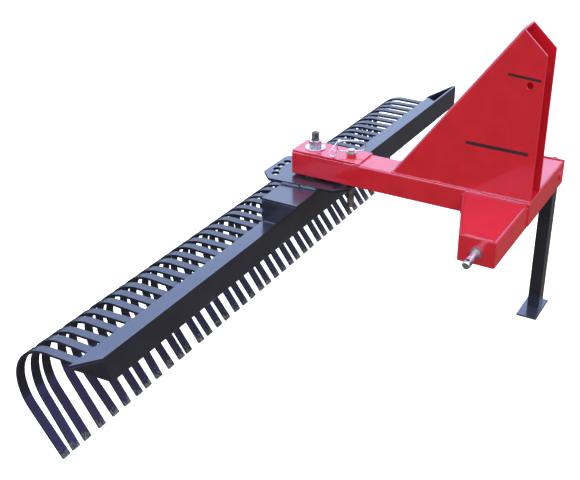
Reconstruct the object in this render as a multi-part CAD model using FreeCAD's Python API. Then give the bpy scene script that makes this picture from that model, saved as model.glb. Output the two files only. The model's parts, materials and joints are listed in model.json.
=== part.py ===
import FreeCAD, Part
import math
import os

# Landscape rake for a compact tractor's three-point hitch.  Millimetres.
# +X is forward, towards the tractor; +Y is the machine's left; +Z is up.
# Pieces are laid out from the ground below the bolt that the head swivels on, and the
# whole is then moved so that the origin is on the ground, at the middle of the outer box.

V = FreeCAD.Vector

# Tines: flat spring-steel bars, rolled to a hook
tine_count = 42
tine_pitch = 50.8
tine_width = 25.4
tine_thickness = 8.0
tine_crown_radius = 123.0
tine_shank_radius = 150.0
tine_leg_angle = 36.0
tine_straight = 94.0
tine_group_size = 7
# How far the middle of the row stands to the left of the pivot
tine_row_offset = -21.0
# Small turns left in the tines by use, repeated along the row, degrees
tine_set = [0.6, -1.1, 1.8, -0.4, 2.4, -1.7, 0.3, 1.2, -2.3, 0.9, -0.6]
# Tines that use has bent towards the right: number from the right, and lean in degrees
tine_lean = {1: 2.7, 2: 2.9, 3: 2.0, 5: 1.1, 7: 1.3, 8: 2.3, 11: 2.0, 41: 5.0}

# Beam: one steel angle, its corner up and to the front
beam_top = 347.0
beam_depth = 50.8
beam_height = 86.5
beam_wall = 8.0
beam_corner_radius = 1.5
beam_front = -12.2
beam_right_mitre = 65.0
beam_right_margin = 24.0
beam_right_slant = 22.0
beam_left_margin = 35.0
flange_left_mitre = 38.0
beam_left_reach = 187.0
gusset_wall = 6.0
left_gusset_rear_height = 40.0

# Saddle: bent plate that stands on the beam and carries the pivot plate
saddle_half_length = 224.0
saddle_height = 71.3
saddle_front_reach = 60.0
saddle_wall = 8.0

# Pivot plate, with its rows of index holes and the slot that the pin runs in
pivot_plate_margin = 11.5
pivot_plate_half_width = 108.0
pivot_plate_front_half_width = 94.0
pivot_plate_corner = 41.0
pivot_plate_thickness = 10.0
index_radius = 128.0
index_step = 15.0
index_steps_each_way = 2

# Boom: rectangular tube with end caps and a doubling plate over the pivot
boom_width = 101.6
boom_height = 76.2
boom_wall = 6.0
boom_corner = 7.0
boom_rear = -57.0
boom_front = 715.0
cap_thickness = 6.0
doubler_reach = 49.0
doubler_thickness = 5.0
doubler_inset = 1.5

# Lower hitch brackets: hollow, open below, tapered to the rear
bracket_front_inset = 5.0
bracket_half_span = 313.0
bracket_inner_length = 195.0
bracket_outer_length = 104.0
bracket_top_drop = 6.5
bracket_bottom_drop = 6.0
bracket_wall = 6.0
bracket_bend_radius = 10.0
bracket_end_wall = 8.0
bracket_end_lip = 2.0

# Mast: one plate folded round the back, open to the front
mast_width = 88.0
mast_wall = 6.0
mast_bend_radius = 10.0
mast_front_inset = 2.0
mast_length = 428.5
mast_front_height = 421.5
mast_peak_height = 486.6
mast_peak_setback = 70.4
top_link_hole_radius = 9.75
top_link_setback = 37.0
top_link_height = 334.5

# Lower hitch pins
hitch_pin_radius = 11.1
hitch_pin_reach = 82.0
hitch_pin_collar_radius = 16.5
hitch_pin_collar_length = 11.0
hitch_pin_setback = 50.0
hitch_pin_nut_flats = 33.0
hitch_pin_nut_height = 5.5
linch_hole_radius = 5.5
linch_hole_margin = 14.0

# Pivot bolt
pivot_bolt_radius = 12.0
pivot_bolt_stand_up = 25.0
pivot_nut_flats = 36.0
pivot_nut_height = 24.0
pivot_head_height = 15.0
pivot_washer_radius = 33.0
pivot_washer_thickness = 4.0
thrust_washer_radius = 44.0

# Index pin
index_pin_radius = 11.0
index_pin_drop = 93.0
index_pin_collar_radius = 16.5
index_pin_collar_height = 5.5
index_pin_knob_radius = 10.5
index_pin_knob_height = 8.7
index_pin_ring_hole_radius = 2.6
index_pin_ring_hole_drop = 6.0
index_pin_boss_radius = 14.0
index_pin_boss_height = 6.5
index_pin_turn = 30.0

# Parking stand
leg_depth = 38.0
leg_width = 46.0
leg_wall = 4.0
leg_above_pivot = 14.0
leg_pivot_drop = 38.0
leg_outer_gap = 10.5
leg_lock_hole_radius = 4.0
leg_lock_hole_forward = 6.0
leg_lock_hole_below_pivot = 141.0
foot_depth = 66.0
foot_width = 133.0
foot_thickness = 6.0
foot_overhang = 17.0
stand_bolt_radius = 8.0
stand_bolt_flats = 24.0
stand_bolt_head_height = 5.0
stand_lug_wall = 6.0

# Clearances
swivel_gap = 5.0
seat_gap = 0.3
running_gap = 0.06
bolt_gap = 0.5
pin_slot_gap = 1.5
tine_root_gap = 2.0
leg_side_gap = 2.0

# Worked out from the above, from the ground up and from the pivot forward
saddle_top = beam_top + saddle_height + saddle_wall
pivot_plate_top = saddle_top + pivot_plate_thickness
boom_bottom = pivot_plate_top + swivel_gap
boom_top = boom_bottom + boom_height
doubler_top = boom_top + doubler_thickness
boss_top = doubler_top + index_pin_boss_height
index_hole_radius = index_pin_radius + pin_slot_gap
pivot_plate_half_length = index_radius + index_hole_radius + pivot_plate_margin
doubler_front = index_radius + doubler_reach
mast_front = boom_front - mast_front_inset
mast_rear = mast_front - mast_length
beam_rear = beam_front - beam_depth
beam_bottom = beam_top - beam_height
tine_top = beam_top - beam_wall
tine_root_limit = beam_front - beam_wall
tine_root = tine_root_limit - tine_root_gap
tine_crown_x = beam_rear - tine_straight
tine_half_row = 0.5 * (tine_count - 1) * tine_pitch
first_tine = tine_row_offset - tine_half_row
last_tine = tine_row_offset + tine_half_row
beam_right_end = first_tine - 0.5 * tine_width - beam_right_margin
mitre_start = beam_right_end + beam_right_mitre
flange_left_end = last_tine + 0.5 * tine_width + beam_left_margin
beam_left_end = flange_left_end + beam_left_reach
bracket_front = boom_front - bracket_front_inset
bracket_inner_rear = bracket_front - bracket_inner_length
bracket_outer_rear = bracket_front - bracket_outer_length
bracket_top = boom_top - bracket_top_drop
bracket_bottom = boom_bottom - bracket_bottom_drop
hitch_pin_x = bracket_front - hitch_pin_setback
hitch_pin_z = 0.5 * (bracket_bottom + bracket_top)
leg_front = bracket_front - bracket_wall - leg_side_gap
leg_rear = leg_front - leg_depth
leg_outer = bracket_half_span - bracket_end_wall - leg_outer_gap
leg_inner = leg_outer - leg_width
leg_y = 0.5 * (leg_inner + leg_outer)
leg_pivot_z = bracket_top - leg_pivot_drop
stand_lug_front = leg_rear - leg_side_gap


def box(x0, x1, y0, y1, z0, z1):
    return Part.makeBox(x1 - x0, y1 - y0, z1 - z0, V(x0, y0, z0))


def rod(radius, start, end):
    along = end - start
    return Part.makeCylinder(radius, along.Length, start, along)


def prism(points, along):
    return Part.Face(Part.makePolygon(points + points[:1])).extrude(along)


def side_plate(outline, y0, y1):
    """A plate that stands along X and Z, from its outline of (x, z) corners."""
    return prism([V(x, y0, z) for x, z in outline], V(0, y1 - y0, 0))


def flat_plate(outline, z0, z1):
    """A level plate, from its outline of (x, y) corners."""
    return prism([V(x, y, z0) for x, y in outline], V(0, 0, z1 - z0))


def hexagon(flats, start, end):
    """A hexagonal bolt head or nut, from the middle of one face to the other."""
    corner = flats / math.sqrt(3.0)
    along = end - start
    face_turn = FreeCAD.Rotation(V(0, 0, 1), along)
    corners = []
    for index in range(6):
        turn = math.radians(60.0 * index)
        corners.append(start + face_turn.multVec(V(corner * math.cos(turn), corner * math.sin(turn), 0)))
    return prism(corners, along)


def edges_along(shape, direction, keep):
    """Straight edges that run along a direction and whose middle passes a test."""
    found = []
    for edge in shape.Edges:
        if len(edge.Vertexes) != 2:
            continue
        run = edge.Vertexes[1].Point - edge.Vertexes[0].Point
        if run.Length > 1e-6 and run.normalize().cross(direction).Length < 1e-4 and keep(edge.CenterOfMass):
            found.append(edge)
    return found


def arc_edge(centre, radius, start_degrees, end_degrees):
    def at(degrees):
        turn = math.radians(degrees)
        return V(centre.x + radius * math.cos(turn), 0, centre.z + radius * math.sin(turn))

    return Part.Arc(at(start_degrees), at(0.5 * (start_degrees + end_degrees)), at(end_degrees)).toShape()


# ---------------------------------------------------------------- boom

def pivot_hole(z0, z1, gap):
    return rod(pivot_bolt_radius + gap, V(0, 0, z0), V(0, 0, z1))


def index_pin_hole(z0, z1, gap):
    return rod(index_pin_radius + gap, V(index_radius, 0, z0), V(index_radius, 0, z1))


def boom_tube():
    half = 0.5 * boom_width
    rear = boom_rear + cap_thickness
    front = boom_front - cap_thickness
    outer = box(rear, front, -half, half, boom_bottom, boom_top)
    outer = outer.makeFillet(boom_corner, edges_along(outer, V(1, 0, 0), lambda middle: True))
    inner = box(rear, front, boom_wall - half, half - boom_wall, boom_bottom + boom_wall, boom_top - boom_wall)
    tube = outer.cut(inner)
    tube = tube.cut(pivot_hole(boom_bottom, boom_top, bolt_gap))
    return tube.cut(index_pin_hole(boom_bottom, boom_top, bolt_gap))


def boom_cap(start):
    half = 0.5 * boom_width
    cap = box(start, start + cap_thickness, -half, half, boom_bottom, boom_top)
    return cap.makeFillet(boom_corner, edges_along(cap, V(1, 0, 0), lambda middle: True))


def boom_doubler():
    half = 0.5 * boom_width - doubler_inset
    plate = box(boom_rear, doubler_front, -half, half, boom_top, doubler_top)
    plate = plate.cut(pivot_hole(boom_top, doubler_top, bolt_gap))
    return plate.cut(index_pin_hole(boom_top, doubler_top, bolt_gap))


# ---------------------------------------------------------------- hitch brackets

def bracket_shell(side):
    """Top, front and rear walls in one folded piece; side is -1 on the right, 1 on the left."""
    inner = 0.5 * boom_width
    outer = bracket_half_span - bracket_end_wall
    slope = (bracket_outer_rear - bracket_inner_rear) / (bracket_half_span - inner)
    rear_at_outer = bracket_inner_rear + slope * (outer - inner)
    rear_wall = bracket_wall * math.hypot(1.0, slope)
    outline = [(bracket_inner_rear, side * inner), (rear_at_outer, side * outer),
               (bracket_front, side * outer), (bracket_front, side * inner)]
    hollow = [(bracket_inner_rear + rear_wall, side * inner), (rear_at_outer + rear_wall, side * outer),
              (bracket_front - bracket_wall, side * outer), (bracket_front - bracket_wall, side * inner)]
    rear_run = V(rear_at_outer - bracket_inner_rear, side * (outer - inner), 0).normalize()

    def folded(corners, top, radius):
        block = flat_plate(corners, bracket_bottom, top)
        folds = [edge for run in (V(0, 1, 0), rear_run)
                 for edge in edges_along(block, run, lambda middle: middle.z > top - radius)]
        return block.makeFillet(radius, folds)

    shell = folded(outline, bracket_top, bracket_bend_radius)
    shell = shell.cut(folded(hollow, bracket_top - bracket_wall, bracket_bend_radius - bracket_wall))
    if side > 0:
        shell = shell.cut(stand_bolt_hole(bolt_gap))
    return shell


def bracket_end(side):
    y0, y1 = sorted([side * (bracket_half_span - bracket_end_wall), side * bracket_half_span])
    plate = box(bracket_outer_rear, bracket_front, y0, y1, bracket_bottom, bracket_top + bracket_end_lip)
    return plate.cut(rod(hitch_pin_radius + bolt_gap, V(hitch_pin_x, y0, hitch_pin_z), V(hitch_pin_x, y1, hitch_pin_z)))


def hitch_pin(side):
    """Stud through the bracket end: shoulder and pin outside, nut inside."""
    def at(distance):
        return V(hitch_pin_x, side * distance, hitch_pin_z)

    face = bracket_half_span
    inside = face - bracket_end_wall
    nut_end = inside - hitch_pin_nut_height
    tip = face + hitch_pin_reach
    tip_chamfer = 0.25 * hitch_pin_radius
    shank = rod(hitch_pin_radius, at(nut_end), at(tip - tip_chamfer))
    nose = Part.makeCone(hitch_pin_radius, hitch_pin_radius - tip_chamfer, tip_chamfer,
                         at(tip - tip_chamfer), V(0, side, 0))
    collar = rod(hitch_pin_collar_radius, at(face), at(face + hitch_pin_collar_length))
    nut = hexagon(hitch_pin_nut_flats, at(nut_end), at(inside))
    pin = shank.fuse([nose, collar, nut]).removeSplitter()
    linch = at(tip - linch_hole_margin)
    drop = V(0, 0, 2.0 * hitch_pin_radius)
    return pin.cut(rod(linch_hole_radius, linch - drop, linch + drop))


# ---------------------------------------------------------------- mast

def mast():
    half = 0.5 * mast_width
    peak_x = mast_front - mast_peak_setback
    foot = V(mast_rear, 0, boom_top)
    peak = V(peak_x, 0, boom_top + mast_peak_height)
    back = (peak - foot).normalize()
    outline = [(mast_rear, boom_top), (mast_front, boom_top),
               (mast_front, boom_top + mast_front_height), (peak_x, peak.z)]
    plate = side_plate(outline, -half, half)
    plate = plate.makeFillet(mast_bend_radius, edges_along(plate, back, lambda middle: middle.x < peak_x))
    inward = V(back.z, 0, -back.x)
    beyond = 2.0 * mast_wall * back
    near_foot = foot + mast_wall * inward - 3.0 * beyond
    near_peak = peak + mast_wall * inward + 3.0 * beyond
    reach = mast_front - mast_rear + mast_peak_height
    hollow_outline = [(near_foot.x, near_foot.z), (near_foot.x + reach, near_foot.z - 1.0),
                      (near_peak.x + reach, near_peak.z), (near_peak.x, near_peak.z)]
    hollow = side_plate(hollow_outline, mast_wall - half, half - mast_wall)
    inner_bend = mast_bend_radius - mast_wall
    hollow = hollow.makeFillet(inner_bend, edges_along(hollow, back, lambda middle: middle.x < peak_x))
    link_x = mast_front - top_link_setback
    link_z = boom_top + top_link_height
    return plate.cut(hollow).cut(rod(top_link_hole_radius, V(link_x, -half, link_z), V(link_x, half, link_z)))


# ---------------------------------------------------------------- pivot and index pin

def pivot_washer():
    bottom = doubler_top
    ring = rod(pivot_washer_radius, V(0, 0, bottom), V(0, 0, bottom + pivot_washer_thickness))
    return ring.cut(pivot_hole(bottom, bottom + pivot_washer_thickness, bolt_gap))


def pivot_bolt():
    head_top = saddle_top - saddle_wall - seat_gap
    nut_top = doubler_top + pivot_washer_thickness + pivot_nut_height
    shank = rod(pivot_bolt_radius, V(0, 0, head_top), V(0, 0, nut_top + pivot_bolt_stand_up))
    return shank.fuse(hexagon(pivot_nut_flats, V(0, 0, head_top - pivot_head_height), V(0, 0, head_top)))


def pivot_nut():
    bottom = doubler_top + pivot_washer_thickness
    nut = hexagon(pivot_nut_flats, V(0, 0, bottom), V(0, 0, bottom + pivot_nut_height))
    return nut.cut(pivot_hole(bottom, bottom + pivot_nut_height, 0.0))


def thrust_washer():
    ring = rod(thrust_washer_radius, V(0, 0, pivot_plate_top + seat_gap), V(0, 0, boom_bottom))
    return ring.cut(pivot_hole(pivot_plate_top, boom_bottom, bolt_gap))


def index_pin_boss():
    """Welded ring on the doubler plate that the index pin stands in."""
    ring = rod(index_pin_boss_radius, V(index_radius, 0, doubler_top), V(index_radius, 0, boss_top))
    return ring.cut(index_pin_hole(doubler_top, boss_top, bolt_gap))


def index_pin():
    collar_top = boss_top + index_pin_collar_height
    knob_top = collar_top + index_pin_knob_height

    def at(z):
        return V(index_radius, 0, z)

    pin = rod(index_pin_radius, at(boom_bottom - index_pin_drop), at(collar_top))
    pin = pin.fuse(rod(index_pin_collar_radius, at(boss_top), at(collar_top)))
    pin = pin.fuse(rod(index_pin_knob_radius, at(collar_top), at(knob_top))).removeSplitter()
    turn = math.radians(index_pin_turn)
    across = 2.0 * index_pin_knob_radius * V(math.cos(turn), math.sin(turn), 0)
    ring_height = at(knob_top - index_pin_ring_hole_drop)
    return pin.cut(rod(index_pin_ring_hole_radius, ring_height - across, ring_height + across))


# ---------------------------------------------------------------- head

def index_slot():
    """The curved slot that the index pin runs in as the head swivels."""
    ring = rod(index_radius + index_hole_radius, V(0, 0, saddle_top), V(0, 0, pivot_plate_top))
    ring = ring.cut(rod(index_radius - index_hole_radius, V(0, 0, saddle_top), V(0, 0, pivot_plate_top)))
    far = 2.0 * index_radius
    spread = math.radians(index_steps_each_way * index_step)
    wedge = flat_plate([(0, 0), (far * math.cos(spread), -far * math.sin(spread)),
                        (far * math.cos(spread), far * math.sin(spread))], saddle_top, pivot_plate_top)
    slot = ring.common(wedge)
    for end in (-spread, spread):
        x = index_radius * math.cos(end)
        y = index_radius * math.sin(end)
        slot = slot.fuse(rod(index_hole_radius, V(x, y, saddle_top), V(x, y, pivot_plate_top)))
    return slot


def pivot_plate():
    x, c = pivot_plate_half_length, pivot_plate_corner
    rear, front = pivot_plate_half_width, pivot_plate_front_half_width
    outline = [(-x, c - rear), (c - x, -rear), (x - c, -front), (x, c - front),
               (x, front - c), (x - c, front), (c - x, rear), (-x, rear - c)]
    plate = flat_plate(outline, saddle_top, pivot_plate_top)
    plate = plate.cut(pivot_hole(saddle_top, pivot_plate_top, running_gap))
    for step in range(-index_steps_each_way, index_steps_each_way + 1):
        turn = math.radians(180.0 + step * index_step)
        centre = V(index_radius * math.cos(turn), index_radius * math.sin(turn), saddle_top)
        plate = plate.cut(rod(index_hole_radius, centre, centre + V(0, 0, pivot_plate_thickness)))
    return plate.cut(index_slot())


def saddle_top_plate():
    plate = box(beam_rear, saddle_front_reach, -saddle_half_length, saddle_half_length,
                saddle_top - saddle_wall, saddle_top)
    return plate.cut(pivot_hole(saddle_top - saddle_wall, saddle_top, running_gap))


def saddle_end(side):
    y0, y1 = sorted([side * saddle_half_length, side * (saddle_half_length - saddle_wall)])
    outline = [(beam_rear, beam_top), (beam_front, beam_top),
               (saddle_front_reach, saddle_top - saddle_wall), (beam_rear, saddle_top - saddle_wall)]
    return side_plate(outline, y0, y1)


def saddle_back():
    inside = saddle_half_length - saddle_wall
    return box(beam_rear, beam_rear + saddle_wall, -inside, inside, beam_top, saddle_top - saddle_wall)


def beam():
    """The angle: its top flange stops short of its front flange at the left, and is mitred at the right."""
    top = flat_plate([(beam_front, mitre_start), (beam_rear, beam_right_end),
                      (beam_rear, flange_left_end), (beam_front, flange_left_end - flange_left_mitre)],
                     tine_top, beam_top)
    outline = [(mitre_start, beam_top), (mitre_start, tine_top), (mitre_start + beam_right_slant, beam_bottom),
               (beam_left_end, beam_bottom), (beam_left_end, beam_top)]
    front = prism([V(beam_front - beam_wall, y, z) for y, z in outline], V(beam_wall, 0, 0))
    angle = top.fuse(front).removeSplitter()
    corner = edges_along(angle, V(0, 1, 0), lambda middle: middle.x > beam_front - 1 and middle.z > beam_top - 1)
    return angle.makeFillet(beam_corner_radius, corner)


def beam_gusset(corners):
    """A plate that closes the angle: its outer corners from the front one on top, round by the rear."""
    run = V(corners[1].x - corners[0].x, corners[1].y - corners[0].y, 0).normalize()
    return prism(corners, V(run.y, -run.x, 0) * gusset_wall).cut(beam())


def right_gusset():
    """Three-cornered, under the mitred end of the top flange."""
    return beam_gusset([V(beam_front, mitre_start, tine_top), V(beam_rear, beam_right_end, tine_top),
                        V(beam_front, mitre_start + beam_right_slant, beam_bottom)])


def left_gusset():
    """Behind the front flange, where it runs on past the end of the top flange."""
    return beam_gusset([V(tine_root_limit, beam_left_end, beam_top), V(beam_rear, flange_left_end, beam_top),
                        V(beam_rear, flange_left_end, beam_top - left_gusset_rear_height),
                        V(tine_root_limit, beam_left_end, beam_bottom)])


def past_right_gusset():
    """What lies outside the inner face of the right gusset, where no tine root reaches."""
    run = V(beam_depth, beam_right_mitre, 0).normalize()
    slant = beam_right_slant * tine_thickness / (tine_top - beam_bottom)
    inward = V(-run.y, run.x, 0) * (gusset_wall + slant)
    rear = V(beam_rear, beam_right_end, 0) + inward - run * beam_depth
    front = rear + run * 4.0 * beam_depth
    outward = V(4.0 * beam_depth, 0, 0)
    outline = [(point.x, point.y) for point in (rear, front, front + outward, rear + outward)]
    return flat_plate(outline, beam_bottom, beam_top)


def tine_outline():
    """The hooked bar seen from the side: level root, crown, shank and straight leg."""
    crown = V(tine_crown_x, 0, tine_top - tine_crown_radius)
    shank = crown + V(tine_shank_radius - tine_crown_radius, 0, 0)
    turned = math.radians(tine_leg_angle)
    to_inner = V(math.cos(turned), 0, math.sin(turned)) * tine_thickness
    bend_end = shank - V(math.cos(turned), 0, math.sin(turned)) * tine_shank_radius
    leg = bend_end.z / math.cos(turned)
    tip = bend_end + V(math.sin(turned), 0, -math.cos(turned)) * leg
    crown_inner = tine_crown_radius - tine_thickness
    shank_inner = tine_shank_radius - tine_thickness
    last = 180.0 + tine_leg_angle
    root_bottom = V(tine_root, 0, tine_top - tine_thickness)
    edges = [
        Part.makeLine(V(tine_root, 0, tine_top), V(tine_crown_x, 0, tine_top)),
        arc_edge(crown, tine_crown_radius, 90.0, 180.0),
        arc_edge(shank, tine_shank_radius, 180.0, last),
        Part.makeLine(bend_end, tip),
        Part.makeLine(tip, tip + to_inner),
        Part.makeLine(tip + to_inner, bend_end + to_inner),
        arc_edge(shank, shank_inner, last, 180.0),
        arc_edge(crown, crown_inner, 180.0, 90.0),
        Part.makeLine(V(tine_crown_x, 0, tine_top - tine_thickness), root_bottom),
        Part.makeLine(root_bottom, V(tine_root, 0, tine_top)),
    ]
    return Part.Face(Part.Wire(edges))


def tine(index):
    y = first_tine + index * tine_pitch
    side = tine_outline()
    side.rotate(V(0, 0, tine_top), V(1, 0, 0), -tine_lean.get(index, 0.0))
    bar = side.extrude(V(0, tine_width, 0))
    bar.translate(V(0, y - 0.5 * tine_width, 0))
    bar.rotate(V(beam_rear, y, 0), V(0, 0, 1), tine_set[index % len(tine_set)])
    if y - tine_width < mitre_start:
        bar = bar.cut(past_right_gusset())
    return bar


def tine_group(group):
    first = group * tine_group_size
    return Part.makeCompound([tine(index) for index in range(first, first + tine_group_size)])


# ---------------------------------------------------------------- parking stand

def stand_bolt_hole(gap):
    return rod(stand_bolt_radius + gap, V(stand_lug_front - stand_lug_wall, leg_y, leg_pivot_z),
               V(bracket_front, leg_y, leg_pivot_z))


def stand_lug():
    plate = box(stand_lug_front - stand_lug_wall, stand_lug_front, leg_inner, leg_outer,
                leg_pivot_z - 0.5 * leg_width, bracket_top - bracket_wall)
    return plate.cut(stand_bolt_hole(bolt_gap))


def stand_bolt():
    rear = stand_lug_front - stand_lug_wall

    def at(x):
        return V(x, leg_y, leg_pivot_z)

    shank = rod(stand_bolt_radius, at(rear - stand_bolt_head_height), at(bracket_front))
    head = hexagon(stand_bolt_flats, at(bracket_front), at(bracket_front + stand_bolt_head_height))
    nut = hexagon(stand_bolt_flats, at(rear - stand_bolt_head_height), at(rear))
    return shank.fuse([head, nut]).removeSplitter()


def stand_leg():
    top = leg_pivot_z + leg_above_pivot
    leg = box(leg_rear, leg_front, leg_inner, leg_outer, foot_thickness, top)
    leg = leg.cut(box(leg_rear + leg_wall, leg_front - leg_wall, leg_inner + leg_wall, leg_outer - leg_wall,
                      foot_thickness, top))
    leg = leg.cut(stand_bolt_hole(running_gap))
    leg_x = 0.5 * (leg_rear + leg_front) + leg_lock_hole_forward
    lock_z = leg_pivot_z - leg_lock_hole_below_pivot
    return leg.cut(rod(leg_lock_hole_radius, V(leg_x, leg_inner, lock_z), V(leg_x, leg_outer, lock_z)))


def stand_foot():
    middle = 0.5 * (leg_rear + leg_front)
    outer = leg_outer + foot_overhang
    return box(middle - 0.5 * foot_depth, middle + 0.5 * foot_depth, outer - foot_width, outer, 0, foot_thickness)


# ---------------------------------------------------------------- pieces

pieces = {
    "boom_tube": boom_tube(),
    "boom_rear_cap": boom_cap(boom_rear),
    "boom_front_cap": boom_cap(boom_front - cap_thickness),
    "boom_doubler_plate": boom_doubler(),
    "right_bracket_shell": bracket_shell(-1),
    "left_bracket_shell": bracket_shell(1),
    "right_bracket_end": bracket_end(-1),
    "left_bracket_end": bracket_end(1),
    "right_hitch_pin": hitch_pin(-1),
    "left_hitch_pin": hitch_pin(1),
    "mast": mast(),
    "pivot_bolt": pivot_bolt(),
    "pivot_nut": pivot_nut(),
    "pivot_washer": pivot_washer(),
    "thrust_washer": thrust_washer(),
    "index_pin_boss": index_pin_boss(),
    "index_pin": index_pin(),
    "stand_lug": stand_lug(),
    "stand_bolt": stand_bolt(),
    "pivot_plate": pivot_plate(),
    "saddle_top": saddle_top_plate(),
    "saddle_back": saddle_back(),
    "saddle_right_end": saddle_end(-1),
    "saddle_left_end": saddle_end(1),
    "beam": beam(),
    "beam_right_gusset": right_gusset(),
    "beam_left_gusset": left_gusset(),
    "stand_leg": stand_leg(),
    "stand_foot": stand_foot(),
}
for group in range(tine_count // tine_group_size):
    pieces[f"tine_group_{group + 1}"] = tine_group(group)

outer_box = Part.makeCompound(list(pieces.values())).optimalBoundingBox(False)
to_origin = V(-outer_box.Center.x, -outer_box.Center.y, -outer_box.ZMin)

os.makedirs("parts", exist_ok=True)
for name, shape in pieces.items():
    shape.translate(to_origin)
    shape.exportStep(f"parts/{name}.step")
    print(name, len(shape.Solids), shape.isValid(), round(shape.Volume / 1000.0, 1))
print("moved by", to_origin)
print("steel", round(sum(shape.Volume for shape in pieces.values()) * 7.85e-6, 1), "kg")
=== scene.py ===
import json
import math

import bmesh
import bpy
from mathutils import Matrix, Vector, noise


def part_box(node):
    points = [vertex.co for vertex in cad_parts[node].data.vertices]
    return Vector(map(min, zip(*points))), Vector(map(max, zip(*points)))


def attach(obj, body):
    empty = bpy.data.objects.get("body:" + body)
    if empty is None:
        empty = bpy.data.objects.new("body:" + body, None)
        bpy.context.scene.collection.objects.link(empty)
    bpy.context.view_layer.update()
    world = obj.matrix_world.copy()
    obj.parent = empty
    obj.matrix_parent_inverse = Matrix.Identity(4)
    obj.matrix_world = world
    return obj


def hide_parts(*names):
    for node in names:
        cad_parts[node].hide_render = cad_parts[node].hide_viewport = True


# Landscape rake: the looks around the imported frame. Everything is in metres, in the row frame:
# +X towards the tractor, +Y along the row of tines, +Z up, the ground at zero.

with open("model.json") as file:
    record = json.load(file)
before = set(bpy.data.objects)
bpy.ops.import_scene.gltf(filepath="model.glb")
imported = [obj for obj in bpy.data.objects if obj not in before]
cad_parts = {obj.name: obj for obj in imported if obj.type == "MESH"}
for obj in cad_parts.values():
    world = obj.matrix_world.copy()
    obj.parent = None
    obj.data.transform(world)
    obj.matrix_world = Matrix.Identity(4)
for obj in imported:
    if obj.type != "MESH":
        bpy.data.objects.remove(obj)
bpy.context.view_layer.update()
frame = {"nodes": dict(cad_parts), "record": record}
mm = 0.001
record = frame["record"]
bodyOf = {node: body for body, members in record["behaviour"]["bodies"].items() for node in members}
slotOf = {part["node"]: part["material_slot"] for part in record["subparts"]}
print("frame loaded:", len(frame["nodes"]), "nodes")


def spot(node, x, y, z):
    # a place in a node's box, each of x, y and z from 0 (low side) to 1 (high side)
    low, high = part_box(node)
    return Vector(low[axis] + share * (high[axis] - low[axis]) for axis, share in enumerate((x, y, z)))


# camera

camera = {
    "place": (1.130994, -2.499452, 1.678241),
    "azimuth": 29.9887,
    "elevation": 27.5906,
    "roll": -0.3625,
    "lens": 58.633,
    "shift": (-0.02187, -0.01799),
    "clip": (0.05, 60.0),
}


def makeCamera():
    data = bpy.data.cameras.new("camera")
    data.lens = camera["lens"]
    data.shift_x, data.shift_y = camera["shift"]
    data.clip_start, data.clip_end = camera["clip"]
    azimuth, elevation, roll = (math.radians(camera[name]) for name in ("azimuth", "elevation", "roll"))
    back = Vector((math.sin(azimuth) * math.cos(elevation), -math.cos(azimuth) * math.cos(elevation),
                   math.sin(elevation)))
    right = Vector((math.cos(azimuth), math.sin(azimuth), 0))
    up = back.cross(right)
    turnedRight = right * math.cos(roll) + up * math.sin(roll)
    turnedUp = up * math.cos(roll) - right * math.sin(roll)
    piece = bpy.data.objects.new("camera", data)
    turn = Matrix((turnedRight, turnedUp, back)).transposed().to_4x4()
    piece.matrix_world = Matrix.Translation(camera["place"]) @ turn
    bpy.context.scene.collection.objects.link(piece)
    bpy.context.scene.camera = piece


makeCamera()
print("camera placed")


# materials

def linearColour(hexText):
    channels = []
    for start in (0, 2, 4):
        value = int(hexText[start:start + 2], 16) / 255
        channels.append(value / 12.92 if value <= 0.04045 else ((value + 0.055) / 1.055) ** 2.4)
    return (*channels, 1.0)


def perMetre(millimetres):
    # noise scale whose features are that many millimetres across
    return 1000.0 / millimetres


def addNode(tree, kind, inputs=None, stops=(), **settings):
    # inputs are sockets to link or plain values, by name or number; stops are a ramp's places, each
    # with a hex colour or a grey value
    node = tree.nodes.new(kind)
    for name, value in settings.items():
        setattr(node, name, value)
    for socket, value in (inputs or {}).items():
        if isinstance(value, bpy.types.NodeSocket):
            tree.links.new(value, node.inputs[socket])
        else:
            node.inputs[socket].default_value = value
    if stops:
        ramp = node.color_ramp
        while len(ramp.elements) < len(stops):
            ramp.elements.new(0.5)
        for element, (place, shade) in zip(ramp.elements, stops):
            element.position = place
            element.color = linearColour(shade) if isinstance(shade, str) else (shade, shade, shade, 1)
    return node


def blankMaterial(name):
    material = bpy.data.materials.new(name)
    material.use_nodes = True
    material.node_tree.nodes.clear()
    return material, material.node_tree


powderBase = {
    "roughness": 0.3, "roughSpread": (0.85, 1.2), "specular": 0.2, "coat": 1.0, "ramp": (0.35, 0.65),
    "peelStrength": 0.5,
}
redGloss = dict(powderBase, colour="CE1D2B", deep="C41B27", mottle=60.0, coatRoughness=0.14, coatIor=1.6,
                peel=7.0, peelHeight=0.035)
blackGloss = dict(powderBase, colour="222126", deep="1B1B1F", mottle=90.0, coatRoughness=0.12,
                  coatIor=1.5, peel=8.0, peelHeight=0.04)
# the beam's lower edge keeps flecks of dried mud and grass, thinning out upwards
splashed = dict(blackGloss, fleck="73786A", fleckSize=4.5, fleckLow=256.0, fleckHigh=290.0,
                fleckShare=0.22, fleckRamp=[(0.50, 0.0), (0.60, 0.8)])


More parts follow.
